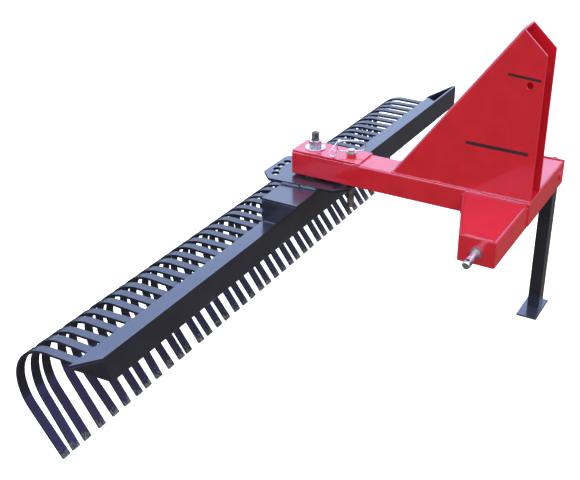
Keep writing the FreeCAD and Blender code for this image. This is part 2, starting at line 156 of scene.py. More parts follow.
def powderCoat(name, finish):
    # polyester powder coat, sprayed and stoved over blasted steel: a wet-looking gloss that mirrors
    # the sky on level faces, with a slow orange-peel waviness (drawn coarser than life so that it shows)
    material, tree = blankMaterial(name)
    place = addNode(tree, "ShaderNodeTexCoord").outputs["Object"]
    mottle = addNode(tree, "ShaderNodeTexNoise", {
        "Vector": place, "Scale": perMetre(finish["mottle"]), "Detail": 2.0}).outputs["Fac"]
    shades = list(zip(finish["ramp"], (finish["deep"], finish["colour"])))
    colour = addNode(tree, "ShaderNodeValToRGB", {"Fac": mottle}, stops=shades).outputs["Color"]
    peel = addNode(tree, "ShaderNodeTexNoise", {
        "Vector": place, "Scale": perMetre(finish["peel"]), "Detail": 1.0})
    bump = addNode(tree, "ShaderNodeBump", {
        "Height": peel.outputs["Fac"], "Strength": finish["peelStrength"],
        "Distance": finish["peelHeight"] * mm})
    smooth, dull = finish["roughSpread"]
    rough = addNode(tree, "ShaderNodeMapRange", {
        "Value": mottle, "To Min": finish["roughness"] * smooth, "To Max": finish["roughness"] * dull})
    if "fleck" in finish:
        height = addNode(tree, "ShaderNodeSeparateXYZ", {"Vector": place}).outputs["Z"]
        speck = addNode(tree, "ShaderNodeTexNoise", {
            "Vector": place, "Scale": perMetre(finish["fleckSize"]), "Detail": 3.0, "Roughness": 0.7})
        patch = addNode(tree, "ShaderNodeTexNoise", {"Vector": place, "Scale": perMetre(finish["mottle"])})
        low = addNode(tree, "ShaderNodeMapRange", {
            "Value": height, "From Min": finish["fleckLow"] * mm, "From Max": finish["fleckHigh"] * mm,
            "To Min": finish["fleckShare"], "To Max": 0.0})
        share = addNode(tree, "ShaderNodeMath", {
            0: speck.outputs["Fac"], 1: patch.outputs["Fac"], 2: low.outputs["Result"]},
            operation="MULTIPLY_ADD")
        mark = addNode(tree, "ShaderNodeValToRGB", {"Fac": share.outputs["Value"]},
                       stops=finish["fleckRamp"])
        colour = addNode(tree, "ShaderNodeMix", {
            0: mark.outputs["Color"], 6: colour, 7: linearColour(finish["fleck"])},
            data_type="RGBA").outputs[2]
    shader = addNode(tree, "ShaderNodeBsdfPrincipled", {
        "Base Color": colour, "Roughness": rough.outputs["Result"],
        "Specular IOR Level": finish["specular"], "Coat Weight": finish["coat"],
        "Coat Roughness": finish["coatRoughness"], "Coat IOR": finish["coatIor"],
        "Normal": bump.outputs["Normal"], "Coat Normal": bump.outputs["Normal"]})
    addNode(tree, "ShaderNodeOutputMaterial", {"Surface": shader.outputs["BSDF"]})
    return material


tineSteel = {
    "colour": "1A1A20", "roughness": 0.24, "ior": 1.6, "peel": 9.0, "peelStrength": 0.5,
    "peelHeight": 0.05,
    "scuff": "4A4B52", "scuffPatch": 22.0, "scuffRamp": [(0.66, 0.0), (0.78, 0.7)],
    "soilTop": 46.0, "soilPatch": 7.0, "soilShare": 0.46, "soilRamp": [(0.78, 0.0), (0.95, 1.0)],
    "soilRoughness": 0.75, "soilKind": 60.0,
    # grass green, dry grey and clay
    "soils": [(0.38, "4C6136"), (0.54, "6F6F66"), (0.68, "8C6A68")],
}


def paintedSpringSteel(name, finish):
    # thin black paint over rolled spring steel: glossy on the crown, rubbed grey in flecks, and dulled
    # by green and brown soil over the last few centimetres above the tips
    material, tree = blankMaterial(name)
    place = addNode(tree, "ShaderNodeTexCoord").outputs["Object"]
    height = addNode(tree, "ShaderNodeSeparateXYZ", {"Vector": place}).outputs["Z"]
    patch = addNode(tree, "ShaderNodeTexNoise", {
        "Vector": place, "Scale": perMetre(finish["soilPatch"]), "Detail": 4.0, "Roughness": 0.6})
    low = addNode(tree, "ShaderNodeMapRange", {
        "Value": height, "From Min": 0.0, "From Max": finish["soilTop"] * mm,
        "To Min": finish["soilShare"], "To Max": 0.0})
    reach = addNode(tree, "ShaderNodeMath", {0: low.outputs["Result"], 1: patch.outputs["Fac"]},
                    operation="ADD")
    soil = addNode(tree, "ShaderNodeValToRGB", {"Fac": reach.outputs["Value"]},
                   stops=finish["soilRamp"]).outputs["Color"]
    kind = addNode(tree, "ShaderNodeTexNoise", {"Vector": place, "Scale": perMetre(finish["soilKind"])})
    soilColour = addNode(tree, "ShaderNodeValToRGB", {"Fac": kind.outputs["Fac"]}, stops=finish["soils"])
    fleck = addNode(tree, "ShaderNodeTexNoise", {
        "Vector": place, "Scale": perMetre(finish["scuffPatch"]), "Detail": 6.0, "Roughness": 0.7})
    scuff = addNode(tree, "ShaderNodeValToRGB", {"Fac": fleck.outputs["Fac"]}, stops=finish["scuffRamp"])
    worn = addNode(tree, "ShaderNodeMix", {
        0: scuff.outputs["Color"], 6: linearColour(finish["colour"]), 7: linearColour(finish["scuff"])},
        data_type="RGBA")
    dirty = addNode(tree, "ShaderNodeMix", {
        0: soil, 6: worn.outputs[2], 7: soilColour.outputs["Color"]}, data_type="RGBA")
    rough = addNode(tree, "ShaderNodeMapRange", {
        "Value": soil, "To Min": finish["roughness"], "To Max": finish["soilRoughness"]})
    peel = addNode(tree, "ShaderNodeTexNoise", {"Vector": place, "Scale": perMetre(finish["peel"])})
    bump = addNode(tree, "ShaderNodeBump", {
        "Height": peel.outputs["Fac"], "Strength": finish["peelStrength"],
        "Distance": finish["peelHeight"] * mm})
    shader = addNode(tree, "ShaderNodeBsdfPrincipled", {
        "Base Color": dirty.outputs[2], "Roughness": rough.outputs["Result"], "IOR": finish["ior"],
        "Normal": bump.outputs["Normal"]})
    addNode(tree, "ShaderNodeOutputMaterial", {"Surface": shader.outputs["BSDF"]})
    return material


# a cloud is three grains across
platingBase = {"cloudGrains": 3, "ramp": (0.35, 0.6), "roughSpread": (0.7, 1.4), "grainStrength": 0.4}
zincFinish = dict(platingBase, colour="DAD2C6", cloud="A39B92", roughness=0.36, grain=5.0,
                  grainHeight=0.02)
# the dull thread zinc's dark colour is also laid on the thrust washer, as painted shade from the boom above
# it
dullZincAndShadeFinish = dict(platingBase, colour="60564C", cloud="3A342F", roughness=0.38, grain=3.0,
                    grainHeight=0.03)
yellowFinish = dict(platingBase, colour="D6CDB8", cloud="A89F88", roughness=0.3, grain=6.0,
                    grainHeight=0.02)
wireFinish = dict(platingBase, colour="E0D8D0", cloud="B0A8A2", roughness=0.25, grain=4.0,
                  grainHeight=0.01)


def platedSteel(name, finish):
    # zinc electroplate over machined steel: a soft silver mirror, clouded where the bath left it uneven,
    # with fine turning marks; the passivated kind leans yellow
    material, tree = blankMaterial(name)
    place = addNode(tree, "ShaderNodeTexCoord").outputs["Object"]
    cloud = addNode(tree, "ShaderNodeTexNoise", {
        "Vector": place, "Scale": perMetre(finish["grain"] * finish["cloudGrains"]), "Detail": 3.0})
    shades = list(zip(finish["ramp"], (finish["cloud"], finish["colour"])))
    shade = addNode(tree, "ShaderNodeValToRGB", {"Fac": cloud.outputs["Fac"]}, stops=shades)
    grain = addNode(tree, "ShaderNodeTexNoise", {
        "Vector": place, "Scale": perMetre(finish["grain"]), "Detail": 3.0}).outputs["Fac"]
    bright, dull = finish["roughSpread"]
    rough = addNode(tree, "ShaderNodeMapRange", {
        "Value": grain, "To Min": finish["roughness"] * bright, "To Max": finish["roughness"] * dull})
    bump = addNode(tree, "ShaderNodeBump", {
        "Height": grain, "Strength": finish["grainStrength"], "Distance": finish["grainHeight"] * mm})
    shader = addNode(tree, "ShaderNodeBsdfPrincipled", {
        "Base Color": shade.outputs["Color"], "Metallic": 1.0, "Roughness": rough.outputs["Result"],
        "Normal": bump.outputs["Normal"]})
    addNode(tree, "ShaderNodeOutputMaterial", {"Surface": shader.outputs["BSDF"]})
    return material


vinylFinish = {
    "colour": "311A1E", "faded": "40262A", "ramp": (0.4, 0.7), "roughness": 0.42, "ior": 1.46,
    "grain": 4.0,
}


def castVinyl(name, finish):
    # cut cast-vinyl film: flat dark stripe with a satin sheen, a little duller than the paint around it
    material, tree = blankMaterial(name)
    place = addNode(tree, "ShaderNodeTexCoord").outputs["Object"]
    grain = addNode(tree, "ShaderNodeTexNoise", {
        "Vector": place, "Scale": perMetre(finish["grain"]), "Detail": 4.0})
    shades = list(zip(finish["ramp"], (finish["colour"], finish["faded"])))
    shade = addNode(tree, "ShaderNodeValToRGB", {"Fac": grain.outputs["Fac"]}, stops=shades)
    shader = addNode(tree, "ShaderNodeBsdfPrincipled", {
        "Base Color": shade.outputs["Color"], "Roughness": finish["roughness"], "IOR": finish["ior"]})
    addNode(tree, "ShaderNodeOutputMaterial", {"Surface": shader.outputs["BSDF"]})
    return material


redPaint = powderCoat("red_gloss_powder_coat", redGloss)
blackPaint = powderCoat("black_gloss_powder_coat", blackGloss)
beamPaint = powderCoat("black_powder_coat_with_mud_flecks", splashed)
tinePaint = paintedSpringSteel("painted_spring_steel", tineSteel)
zincPlate = platedSteel("bright_zinc_plate", zincFinish)
dullZincAndWasherShade = platedSteel("dull_zinc_thread_and_washer_shade", dullZincAndShadeFinish)
yellowPlate = platedSteel("yellow_passivated_zinc", yellowFinish)
wirePlate = platedSteel("bright_spring_wire", wireFinish)
stripeFilm = castVinyl("black_cast_vinyl", vinylFinish)
print("materials made:", len(bpy.data.materials))


# steel pieces: each node's own faces, with the small rounded edges that rolled and sawn steel has

softEdge = {
    "weld": 0.02,        # mm, joins corners that the tessellation splits
    "flat": 0.5,         # degrees, faces this flat are one face
    "crease": 34.0,      # degrees, sharper edges get rounded
    "segments": 2,
}


def makePiece(name, mesh, body, material):
    mesh.materials.append(material)
    piece = bpy.data.objects.new(name, mesh)
    bpy.context.scene.collection.objects.link(piece)
    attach(piece, body)
    return piece


def nodeFaces(node):
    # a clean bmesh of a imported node, without its triangles across flat faces
    source = frame["nodes"][node].data
    bm = bmesh.new()
    corners = [bm.verts.new(vertex.co) for vertex in source.vertices]
    for polygon in source.polygons:
        ring = [corners[index] for index in polygon.vertices]
        if len(set(ring)) > 2:
            bm.faces.new(ring)
    bmesh.ops.remove_doubles(bm, verts=bm.verts, dist=softEdge["weld"] * mm)
    bmesh.ops.dissolve_degenerate(bm, edges=bm.edges, dist=softEdge["weld"] * mm)
    bmesh.ops.dissolve_limit(bm, angle_limit=math.radians(softEdge["flat"]), verts=bm.verts, edges=bm.edges)
    bmesh.ops.recalc_face_normals(bm, faces=bm.faces)
    return bm


def meshOf(name, bm, crease=softEdge["crease"]):
    mesh = bpy.data.meshes.new(name)
    bm.to_mesh(mesh)
    bm.free()
    mesh.shade_smooth()
    mesh.set_sharp_from_angle(angle=math.radians(crease))
    return mesh


def smoothMesh(name, bm, crease=softEdge["crease"]):
    bmesh.ops.recalc_face_normals(bm, faces=bm.faces)
    return meshOf(name, bm, crease)


def steelPiece(node, material, edge, bm=None):
    mesh = meshOf(node + "_steel", bm or nodeFaces(node))
    piece = makePiece(node + "_steel", mesh, bodyOf[node], material)
    bevel = piece.modifiers.new("rounded_edges", "BEVEL")
    bevel.width = edge * mm
    bevel.segments = softEdge["segments"]
    bevel.limit_method = "ANGLE"
    bevel.angle_limit = math.radians(softEdge["crease"])
    bevel.use_clamp_overlap = True
    bevel.harden_normals = True
    bevel.miter_outer = "MITER_ARC"
    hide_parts(node)


# how far each node's edges are rounded, in mm
edges = {
    "boom_tube": 0.8, "boom_rear_cap": 1.2, "boom_front_cap": 1.2, "boom_doubler_plate": 1.0,
    "index_pin_boss": 0.8, "stand_bolt": 0.9,
    "right_bracket_shell": 1.0, "left_bracket_shell": 1.0, "right_bracket_end": 1.8, "left_bracket_end": 1.8,
    "mast": 1.0, "stand_lug": 1.0, "pivot_plate": 0.8, "saddle_top": 1.4, "saddle_back": 1.0,
    "saddle_right_end": 1.2, "saddle_left_end": 1.2, "beam": 1.0, "beam_right_gusset": 1.0,
    "beam_left_gusset": 1.0, "stand_leg": 1.0, "stand_foot": 1.2,
}
hardwareEdges = {
    "right_hitch_pin": 0.9, "left_hitch_pin": 0.9, "pivot_washer": 0.6, "thrust_washer": 0.6,
    "index_pin": 1.2,
}
tineEdge = 0.9
# the thrust washer under the boom takes the dark dull thread zinc: its darker colour is painted shade from
# the boom above
plating = {"index_pin": yellowPlate, "thrust_washer": dullZincAndWasherShade, "pivot_washer": wirePlate}

for node, edge in edges.items():
    black = beamPaint if node.startswith("beam") else blackPaint
    steelPiece(node, redPaint if slotOf[node] == "red_paint" else black, edge)
for node, edge in hardwareEdges.items():
    steelPiece(node, plating.get(node, zincPlate), edge)
for node in bodyOf:
    if node.startswith("tine_group"):
        steelPiece(node, tinePaint, tineEdge)
print("steel pieces made")


# pivot bolt: its nut with turned-off corners, and the rolled thread that stands above it

pivotNut = {
    "flats": 36.0, "hole": 12.2, "chamfer": 30.0, "washerFace": 0.96, "turn": 10.0, "columns": 72,
    "crease": 20.0,
}
pivotThread = {
    "radius": 12.0, "pitch": 3.0, "depth": 1.5, "chamfer": 2.2, "columns": 48, "rows": 6, "sunk": 3.0,
    "crease": 50.0, "shankEdge": 0.8,
}


def latheRings(bm, rings):
    # joins rings of points, each a list as long as the next, into a skin
    rows = [[bm.verts.new(point) for point in ring] for ring in rings]
    count = len(rows[0])
    for lower, upper in zip(rows, rows[1:]):
        for index in range(count):
            after = (index + 1) % count
            bm.faces.new((lower[index], lower[after], upper[after], upper[index]))
    return rows


def closedSkin(bm, rings):
    rows = latheRings(bm, rings)
    bm.faces.new(list(reversed(rows[0])))
    bm.faces.new(rows[-1])


def makePivotNut():
    low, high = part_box("pivot_nut")
    centre = spot("pivot_nut", 0.5, 0.5, 0)
    flat = pivotNut["flats"] / 2 * mm
    face = flat * pivotNut["washerFace"]
    hole = pivotNut["hole"] * mm
    slope = math.tan(math.radians(pivotNut["chamfer"]))
    turns = [2 * math.pi * index / pivotNut["columns"] for index in range(pivotNut["columns"])]
    tightened = math.radians(pivotNut["turn"])
    corner = [flat / math.cos((turn % (math.pi / 3)) - math.pi / 6) for turn in turns]
    drop = [(radius - face) * slope for radius in corner]

    def ring(radii, heights):
        return [Vector((centre.x + radius * math.cos(turn + tightened),
                        centre.y + radius * math.sin(turn + tightened), height))
                for turn, radius, height in zip(turns, radii, heights)]

    def roundRing(radius, height):
        return ring([radius] * len(turns), [height] * len(turns))

    bm = bmesh.new()
    rows = latheRings(bm, [
        roundRing(hole, low[2]),
        roundRing(face, low[2]),
        ring(corner, [low[2] + fall for fall in drop]),
        ring(corner, [high[2] - fall for fall in drop]),
        roundRing(face, high[2]),
        roundRing(hole + mm, high[2]),
        roundRing(hole, high[2] - mm),
    ])
    for index in range(len(turns)):
        after = (index + 1) % len(turns)
        bm.faces.new((rows[-1][index], rows[-1][after], rows[0][after], rows[0][index]))
    mesh = smoothMesh("pivot_nut_steel", bm, pivotNut["crease"])
    piece = makePiece("pivot_nut_steel", mesh, bodyOf["pivot_nut"], zincPlate)
    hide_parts("pivot_nut")


def makePivotBolt():
    bm = nodeFaces("pivot_bolt")
    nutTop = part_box("pivot_nut")[1][2]
    base = nutTop - pivotThread["sunk"] * mm
    cut = bmesh.ops.bisect_plane(bm, geom=bm.verts[:] + bm.edges[:] + bm.faces[:], plane_co=(0, 0, base),
                                 plane_no=(0, 0, 1), clear_outer=True)
    rim = [item for item in cut["geom_cut"] if isinstance(item, bmesh.types.BMEdge)]
    bmesh.ops.contextual_create(bm, geom=rim)
    steelPiece("pivot_bolt", zincPlate, pivotThread["shankEdge"], bm)

    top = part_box("pivot_bolt")[1][2]
    centre = spot("pivot_nut", 0.5, 0.5, 0)
    pitch, radius = pivotThread["pitch"] * mm, pivotThread["radius"] * mm
    step = pitch / pivotThread["rows"]
    rings = []
    for row in range(int((top - base) / step) + 1):
        height = base + row * step
        room = radius - max(0.0, pivotThread["chamfer"] * mm - (top - height))
        ring = []
        for column in range(pivotThread["columns"]):
            share = column / pivotThread["columns"]
            groove = abs(2 * (((height - base) / pitch - share) % 1) - 1)
            reach = min(room, radius - pivotThread["depth"] * mm * groove)
            turn = 2 * math.pi * share
            ring.append(Vector((centre.x + reach * math.cos(turn), centre.y + reach * math.sin(turn),
                                height)))
        rings.append(ring)
    bm = bmesh.new()
    closedSkin(bm, rings)
    makePiece("pivot_bolt_thread", smoothMesh("pivot_bolt_thread", bm, pivotThread["crease"]),
              bodyOf["pivot_bolt"], dullZincAndWasherShade)


makePivotNut()
makePivotBolt()
print("pivot bolt made")


# index pin: the oval pull ring through its knob, and the hairpin clip that hangs on the ring

pullRing = {
    "length": 94.0, "height": 38.0, "wire": 4.0, "turn": 30.0, "holeDrop": 6.0, "slid": -1.5, "perEnd": 10,
    "flatShare": 0.6,
}
hairpin = {
    "wire": 2.5, "coil": 10.5, "coilTurns": 1.5, "perTurn": 16,
    "climb": 1.05,       # of a wire, each turn
    "legMiddle": 0.5, "legRunOut": 4,
    # along the ring, across it and up, from the hole in the knob
    "legTop": (-37.3, 7.5, 36.5), "coilMiddle": (-58.4, -11.0, -1.8), "facing": (0.0, -0.886, 0.463),
    "wave": [(-47.0, -9.5, 5.0), (-47.5, -6.5, 12.0), (-48.0, -4.0, 20.0), (-47.0, -2.5, 28.0),
             (-42.0, 0.5, 35.5), (-33.0, 4.5, 35.5)],
}
wireMerge = 0.01         # mm, joins points that the curve doubles


def wirePiece(name, points, wire, closed):
    line = bpy.data.curves.new(name, "CURVE")
    line.dimensions = "3D"
    line.bevel_depth = wire / 2 * mm
    line.bevel_resolution = 4
    line.use_fill_caps = True
    spline = line.splines.new("NURBS")
    spline.points.add(len(points) - 1)
    for knot, point in zip(spline.points, points):
        knot.co = (*point, 1)
    spline.use_cyclic_u = closed
    spline.use_endpoint_u = not closed
    spline.order_u = 3
    spline.resolution_u = 4
    shape = bpy.data.objects.new(name + "_line", line)
    bpy.context.scene.collection.objects.link(shape)
    mesh = bpy.data.meshes.new_from_object(shape)
    bpy.data.objects.remove(shape)
    mesh.name = name
    bm = bmesh.new()
    bm.from_mesh(mesh)
    bmesh.ops.remove_doubles(bm, verts=bm.verts, dist=wireMerge * mm)
    bpy.data.meshes.remove(mesh)
    makePiece(name, smoothMesh(name, bm), bodyOf["index_pin"], wirePlate)


def fromKnob(along, across, up):
    # a place measured along the ring, across it and up from the hole in the knob, in mm
    knob = spot("index_pin", 0.5, 0.5, 1) - Vector((0, 0, pullRing["holeDrop"] * mm))
    turn = math.radians(pullRing["turn"])
    forward = Vector((math.cos(turn), math.sin(turn), 0))
    sideways = Vector((-math.sin(turn), math.cos(turn), 0))
    return knob + (along * forward + across * sideways) * mm + Vector((0, 0, up * mm))


def makePullRing():
    bend = (pullRing["height"] - pullRing["wire"]) / 2
    straight = (pullRing["length"] - pullRing["wire"]) / 2 - bend
    points = []
    for side in (1, -1):
        points.append(fromKnob(pullRing["slid"] - pullRing["flatShare"] * side * straight, 0,
                               bend - side * bend))
        for index in range(pullRing["perEnd"] + 1):
            turn = math.pi * index / pullRing["perEnd"] - math.pi / 2
            points.append(fromKnob(pullRing["slid"] + side * (straight + bend * math.cos(turn)), 0,
                                   bend + side * bend * math.sin(turn)))
    wirePiece("index_pin_ring", points, pullRing["wire"], True)


def makeHairpin():
    legTop, middle = Vector(hairpin["legTop"]), Vector(hairpin["coilMiddle"])
    # the straight leg is tangent to the coil: down it, then sideways to the coil's middle
    toMiddle = middle - legTop
    length = math.sqrt(toMiddle.length_squared - hairpin["coil"] ** 2)
    facing = toMiddle.cross(Vector(hairpin["facing"]).cross(toMiddle)).normalized()
    sideways = facing.cross(toMiddle).normalized()
    lean = math.atan2(hairpin["coil"], length)
    down = (toMiddle.normalized() * math.cos(lean) - sideways * math.sin(lean)).normalized()
    outward = facing.cross(down).normalized()
    legEnd = legTop + down * length
    points = [legTop, legTop + down * length * hairpin["legMiddle"], legEnd - down * hairpin["legRunOut"]]
    steps = int(hairpin["coilTurns"] * hairpin["perTurn"])
    for index in range(steps + 1):
        turn = 2 * math.pi * index / hairpin["perTurn"]
        climb = facing * hairpin["wire"] * hairpin["climb"] * index / hairpin["perTurn"]
        points.append(legEnd + outward * hairpin["coil"] * (1 - math.cos(turn))
                      + down * hairpin["coil"] * math.sin(turn) - climb)
    points += [Vector(point) for point in hairpin["wave"]]
    wirePiece("index_pin_hairpin", [fromKnob(*point) for point in points], hairpin["wire"], False)


makePullRing()
makeHairpin()
print("ring and hairpin made")


# weld beads: ripples frozen one on another, painted over with the steel around them

bead = {
    "ripple": 4.2, "step": 1.05, "sides": 8, "depth": 0.2, "crescent": 0.3, "hump": 0.7, "wander": 0.12,
    "fewestRows": 4, "endFade": 0.02, "swellRun": 9, "driftRun": 13, "drifts": (5, 9), "seedStep": 3.7,
    "smooth": 60.0,
}


def layBead(bm, start, end, radius, seed):
    # one straight bead, buried by half in the corner that it fills
    start, end = Vector(start), Vector(end)
    along = (end - start).normalized()
    side = along.orthogonal().normalized()
    other = along.cross(side)
    length = (end - start).length / mm
    count = max(bead["fewestRows"], int(length / bead["step"]))
    rings = []
    for row in range(count + 1):
        gone = length * row / count
        fade = min(1.0, math.sqrt(max(bead["endFade"], min(gone, length - gone) / radius)))
        swell = 1 + bead["wander"] * noise.noise(Vector((gone / bead["swellRun"], seed, 0)))
        shift = [noise.noise(Vector((gone / bead["driftRun"], seed, drift))) for drift in bead["drifts"]]
        ring = []
        for column in range(bead["sides"]):
            turn = 2 * math.pi * column / bead["sides"]
            phase = (gone / bead["ripple"] + bead["crescent"] * math.cos(turn)) % 1
            height = 1 - bead["depth"] * (1 - math.sin(math.pi * phase) ** bead["hump"])
            reach = radius * fade * swell * height
            ring.append(start + along * gone * mm
                        + (side * (reach * math.cos(turn) + bead["wander"] * radius * shift[0])
                           + other * (reach * math.sin(turn) + bead["wander"] * radius * shift[1])) * mm)
        rings.append(ring)
    closedSkin(bm, rings)


def weldPiece(name, beads, node, material):
    # beads are (start, end, radius in mm)
    bm = bmesh.new()
    for index, (start, end, radius) in enumerate(beads):
        layBead(bm, start, end, radius, index * bead["seedStep"])
    makePiece(name, smoothMesh(name, bm, bead["smooth"]), bodyOf[node], material)


# red seams, in mm: along X from the pivot, out from the face that they lie on
seams = {
    "doublerSide": (-14, 128), "doublerRadius": 2.6, "doublerSunk": 3.4, "doublerOut": 0.4,
    "doublerCorner": 20, "cornerExtra": 0.6,
    "footRadius": 3.2, "footFrom": 6, "footOut": 0.8, "footSunk": 0.5,
    "lump": (-2, 14), "lumpRadius": 5.0, "stitches": [(411, 445), (566, 712)], "stitchRadius": 5.2,
    "bracketRadius": 3.8, "bracketOut": 0.6, "bracketRise": 0.4, "bracketBend": 8,
    "uprightRadius": 3.0, "uprightIn": 0.3, "uprightFrom": 2, "endPlateRadius": 4.2, "endPlateInset": 8,
    "lugRadius": 3.0,
}


def pastPivot(distance):
    return spot("pivot_nut", 0.5, 0.5, 0).x + distance * mm


def doublerWelds():
    low, high = (Vector(corner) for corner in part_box("boom_doubler_plate"))
    first, last = seams["doublerSide"]
    corner, radius = seams["doublerCorner"] * mm, seams["doublerRadius"]
    beads = []
    for face, out in ((low.y, -1), (high.y, 1)):
        y, z = face + out * seams["doublerOut"] * mm, low.z - seams["doublerOut"] * mm
        sunk = z - seams["doublerSunk"] * mm
        beads.append(((pastPivot(first), y, sunk), (pastPivot(last), y, sunk), radius))
        beads.append(((high.x - corner, y, z), (high.x + mm, y, z), radius + seams["cornerExtra"]))
        beads.append(((high.x, y, z + mm), (high.x, y - out * corner, z + mm), radius))
    weldPiece("doubler_welds", beads, "boom_doubler_plate", redPaint)


def mastFootWelds():
    low, high = (Vector(corner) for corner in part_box("mast"))
    boomTop = Vector(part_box("boom_tube")[1]).z
    inset = seams["footFrom"] * mm
    beads = []
    for face, out in ((low.y, -1), (high.y, 1)):
        y, z = face + out * seams["footOut"] * mm, boomTop - seams["footSunk"] * mm
        beads.append(((low.x + inset, y, z), (high.x - mm, y, z), seams["footRadius"]))
        lumpStart, lumpEnd = (low.x + reach * mm for reach in seams["lump"])
        beads.append(((lumpStart, y, z), (lumpEnd, y, z), seams["lumpRadius"]))
        for first, last in seams["stitches"]:
            beads.append(((pastPivot(first), y, z), (pastPivot(last), y, z), seams["stitchRadius"]))
    beads.append(((low.x, low.y + inset, boomTop), (low.x, high.y - inset, boomTop), seams["footRadius"]))
    weldPiece("mast_foot_welds", beads, "mast", redPaint)


def bracketWelds(side, face, out):
    low, high = (Vector(corner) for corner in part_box(side + "_bracket_shell"))
    endLow, endHigh = (Vector(corner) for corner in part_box(side + "_bracket_end"))
    y, top = face + out * seams["bracketOut"] * mm, high.z + seams["bracketRise"] * mm
    bend, foot = seams["bracketBend"] * mm, low.z + seams["uprightFrom"] * mm
    beads = [((low.x + bend, y, top), (high.x - bend, y, top), seams["bracketRadius"])]
    for x in (high.x - seams["uprightIn"] * mm, low.x + seams["uprightIn"] * mm):
        beads.append(((x, y, foot), (x, y, top - bend), seams["uprightRadius"]))
    plateFace = endHigh.y if out < 0 else endLow.y
    inset = seams["endPlateInset"] * mm
    beads.append(((endLow.x + inset, plateFace, top), (endHigh.x - inset, plateFace, top),
                  seams["endPlateRadius"]))
    weldPiece(side + "_bracket_welds", beads, side + "_bracket_shell", redPaint)


def lugWelds():
    low, high = (Vector(corner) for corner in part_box("stand_lug"))
    beads = [((x, low.y, high.z), (x, high.y, high.z), seams["lugRadius"]) for x in (low.x, high.x)]
    weldPiece("stand_lug_welds", beads, "stand_lug", redPaint)


# black seams, in mm: saddle to pivot plate, saddle ends to beam, tines to the underside of the flange
headSeams = {
    "plateRadius": 7.0, "plateExtra": 0.8, "plateOut": 2.5, "plateStep": 3.0, "plateRise": 0.8,
    "plateSplit": 0.5, "splitOverlap": 4, "plateStart": 2, "edgeShare": 0.85,
    "endRadius": 3.2, "endFrom": 3, "endTo": 6,
    "cornerRadius": 3.6, "cornerFrom": 8, "cornerTo": 0.5,
    "tineRadius": 2.4, "tineSunk": 0.4, "tineFrom": 3, "tineTo": 2, "level": 0.999, "rootReach": 5,
}


def plateWelds():
    # the plate's long edges run from its wider rear to its narrower front
    low, high = (Vector(corner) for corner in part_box("pivot_plate"))
    saddleLow, saddleHigh = (Vector(corner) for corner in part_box("saddle_top"))
    centre = spot("pivot_plate", 0.5, 0.5, 0).y
    outline = [vertex.co.copy() for vertex in frame["nodes"]["pivot_plate"].data.vertices
               if vertex.co.z < low.z + mm]
    beads = []
    for out in (-1, 1):
        edge = sorted((point for point in outline
                       if out * (point.y - centre) > headSeams["edgeShare"] * (high.y - low.y) / 2),
                      key=lambda point: point.x)
        rear, front = edge[0], edge[-1]

        def onEdge(x, outward):
            share = (x - rear.x) / (front.x - rear.x)
            y = rear.y + share * (front.y - rear.y) + out * outward * mm
            return (x, y, saddleHigh.z + headSeams["plateRise"] * mm)

        middle = saddleLow.x + headSeams["plateSplit"] * (saddleHigh.x - saddleLow.x)
        beyond = headSeams["plateOut"]
        within = beyond - headSeams["plateStep"]
        beads.append((onEdge(saddleLow.x - headSeams["plateStart"] * mm, beyond),
                      onEdge(middle + headSeams["splitOverlap"] * mm, beyond), headSeams["plateRadius"]))
        beads.append((onEdge(middle, within), onEdge(saddleHigh.x - mm, within),
                      headSeams["plateRadius"] + headSeams["plateExtra"]))
    weldPiece("pivot_plate_welds", beads, "pivot_plate", blackPaint)


def saddleEndWelds():
    low, high = (Vector(corner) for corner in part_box("beam"))
    beads = []
    for node, share in (("saddle_right_end", 0), ("saddle_left_end", 1)):
        face = spot(node, 0, share, 0).y
        beads.append(((low.x + headSeams["endFrom"] * mm, face, high.z),
                      (high.x - headSeams["endTo"] * mm, face, high.z), headSeams["endRadius"]))
        beads.append(((high.x - headSeams["cornerFrom"] * mm, face, high.z),
                      (high.x - headSeams["cornerTo"] * mm, face, high.z), headSeams["cornerRadius"]))
    weldPiece("saddle_welds", beads, "saddle_top", blackPaint)


def tineRoots():
    # each tine's flat top under the flange: its two sides as (start, end) pairs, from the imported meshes
    rootFrom = Vector(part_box("beam")[0]).x + headSeams["rootReach"] * mm
    roots = []
    for node in sorted(name for name in bodyOf if name.startswith("tine_group")):
        bm = nodeFaces(node)
        for face in bm.faces:
            if face.normal.z > headSeams["level"] and max(vertex.co.x for vertex in face.verts) > rootFrom:
                corners = sorted((vertex.co.copy() for vertex in face.verts), key=lambda corner: corner.x)
                rear = sorted(corners[:2], key=lambda corner: corner.y)
                front = sorted(corners[-2:], key=lambda corner: corner.y)
                roots.append(tuple(zip(rear, front)))
        bm.free()
    return roots


def tineRootWelds():
    flangeRear = Vector(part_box("beam")[0]).x + headSeams["tineFrom"] * mm
    sunk = headSeams["tineSunk"] * mm
    beads = []
    for sides in tineRoots():
        for start, end in sides:
            start = Vector((max(start.x, flangeRear), start.y, start.z))
            beads.append((start - Vector((0, 0, sunk)), end - Vector((headSeams["tineTo"] * mm, 0, sunk)),
                          headSeams["tineRadius"]))
    weldPiece("tine_root_welds", beads, "beam", blackPaint)


doublerWelds()
mastFootWelds()
boomLow, boomHigh = (Vector(corner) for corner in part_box("boom_tube"))
bracketWelds("right", boomLow.y, -1)
bracketWelds("left", boomHigh.y, 1)
lugWelds()
plateWelds()
saddleEndWelds()
tineRootWelds()
print("welds laid")


# stripes: two dark bars on each side of the mast, cut from film

bars = {
    "thickness": 0.3, "sunk": 0.1, "perEnd": 10,
    # (start, end, width) in mm, with X back from the mast's front edge and Z up from its foot
    "stripes": {"upper": ((-97, 357.5), (-11, 351.5), 7.5), "lower": ((-198, 141.5), (-25, 139.5), 10.0)},
}


